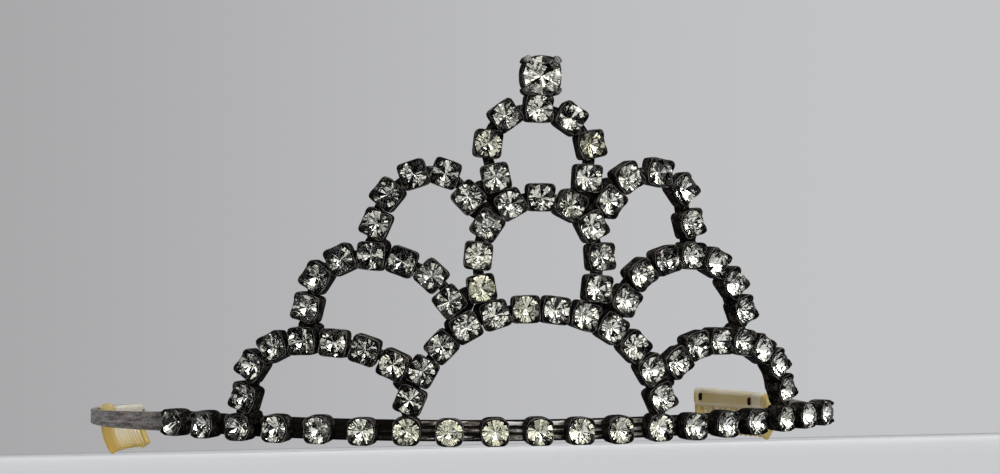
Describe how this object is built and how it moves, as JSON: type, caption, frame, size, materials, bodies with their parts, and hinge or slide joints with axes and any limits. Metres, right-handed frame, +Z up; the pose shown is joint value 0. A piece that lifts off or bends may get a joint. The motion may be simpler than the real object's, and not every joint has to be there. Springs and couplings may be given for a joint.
{
  "type": "tiara",
  "caption": "Tiara: bent headband with a row of cut stones in square cups, tiers of stone-set arches, a larger top stone and a side comb at each end.",
  "frame": {"origin": "middle of the footprint, on the surface that the tiara rests on", "axes": "+Z up from that surface, +X to the viewer's right seen from the front, and the front with its stones faces -Y"},
  "size_m": [0.1464, 0.1259, 0.0636],
  "materials": {
    "band_metal": "blackened, worn to silver grey on the rear arms",
    "arch_metal": "blackened, with lighter worn edges",
    "stones": "faceted, foiled at the back",
    "comb_plastic": "aged, translucent yellow"
  },
  "bodies": {
    "root": {"headband": "band_metal", "lower_left_arch": "arch_metal", "lower_centre_arch": "arch_metal", "lower_right_arch": "arch_metal", "middle_left_arch": "arch_metal", "middle_centre_arch": "arch_metal", "middle_right_arch": "arch_metal", "upper_left_arch": "arch_metal", "upper_centre_arch": "arch_metal", "upper_right_arch": "arch_metal", "base_stones_left": "stones", "base_stones_right": "stones", "lower_left_stones": "stones", "lower_centre_stones": "stones", "lower_right_stones": "stones", "middle_left_stones": "stones", "middle_centre_stones": "stones", "middle_right_stones": "stones", "upper_left_stones": "stones", "upper_centre_stones": "stones", "upper_right_stones": "stones", "finial_stone": "stones", "comb_left": "comb_plastic", "comb_right": "comb_plastic"}
  },
  "joints": []
}
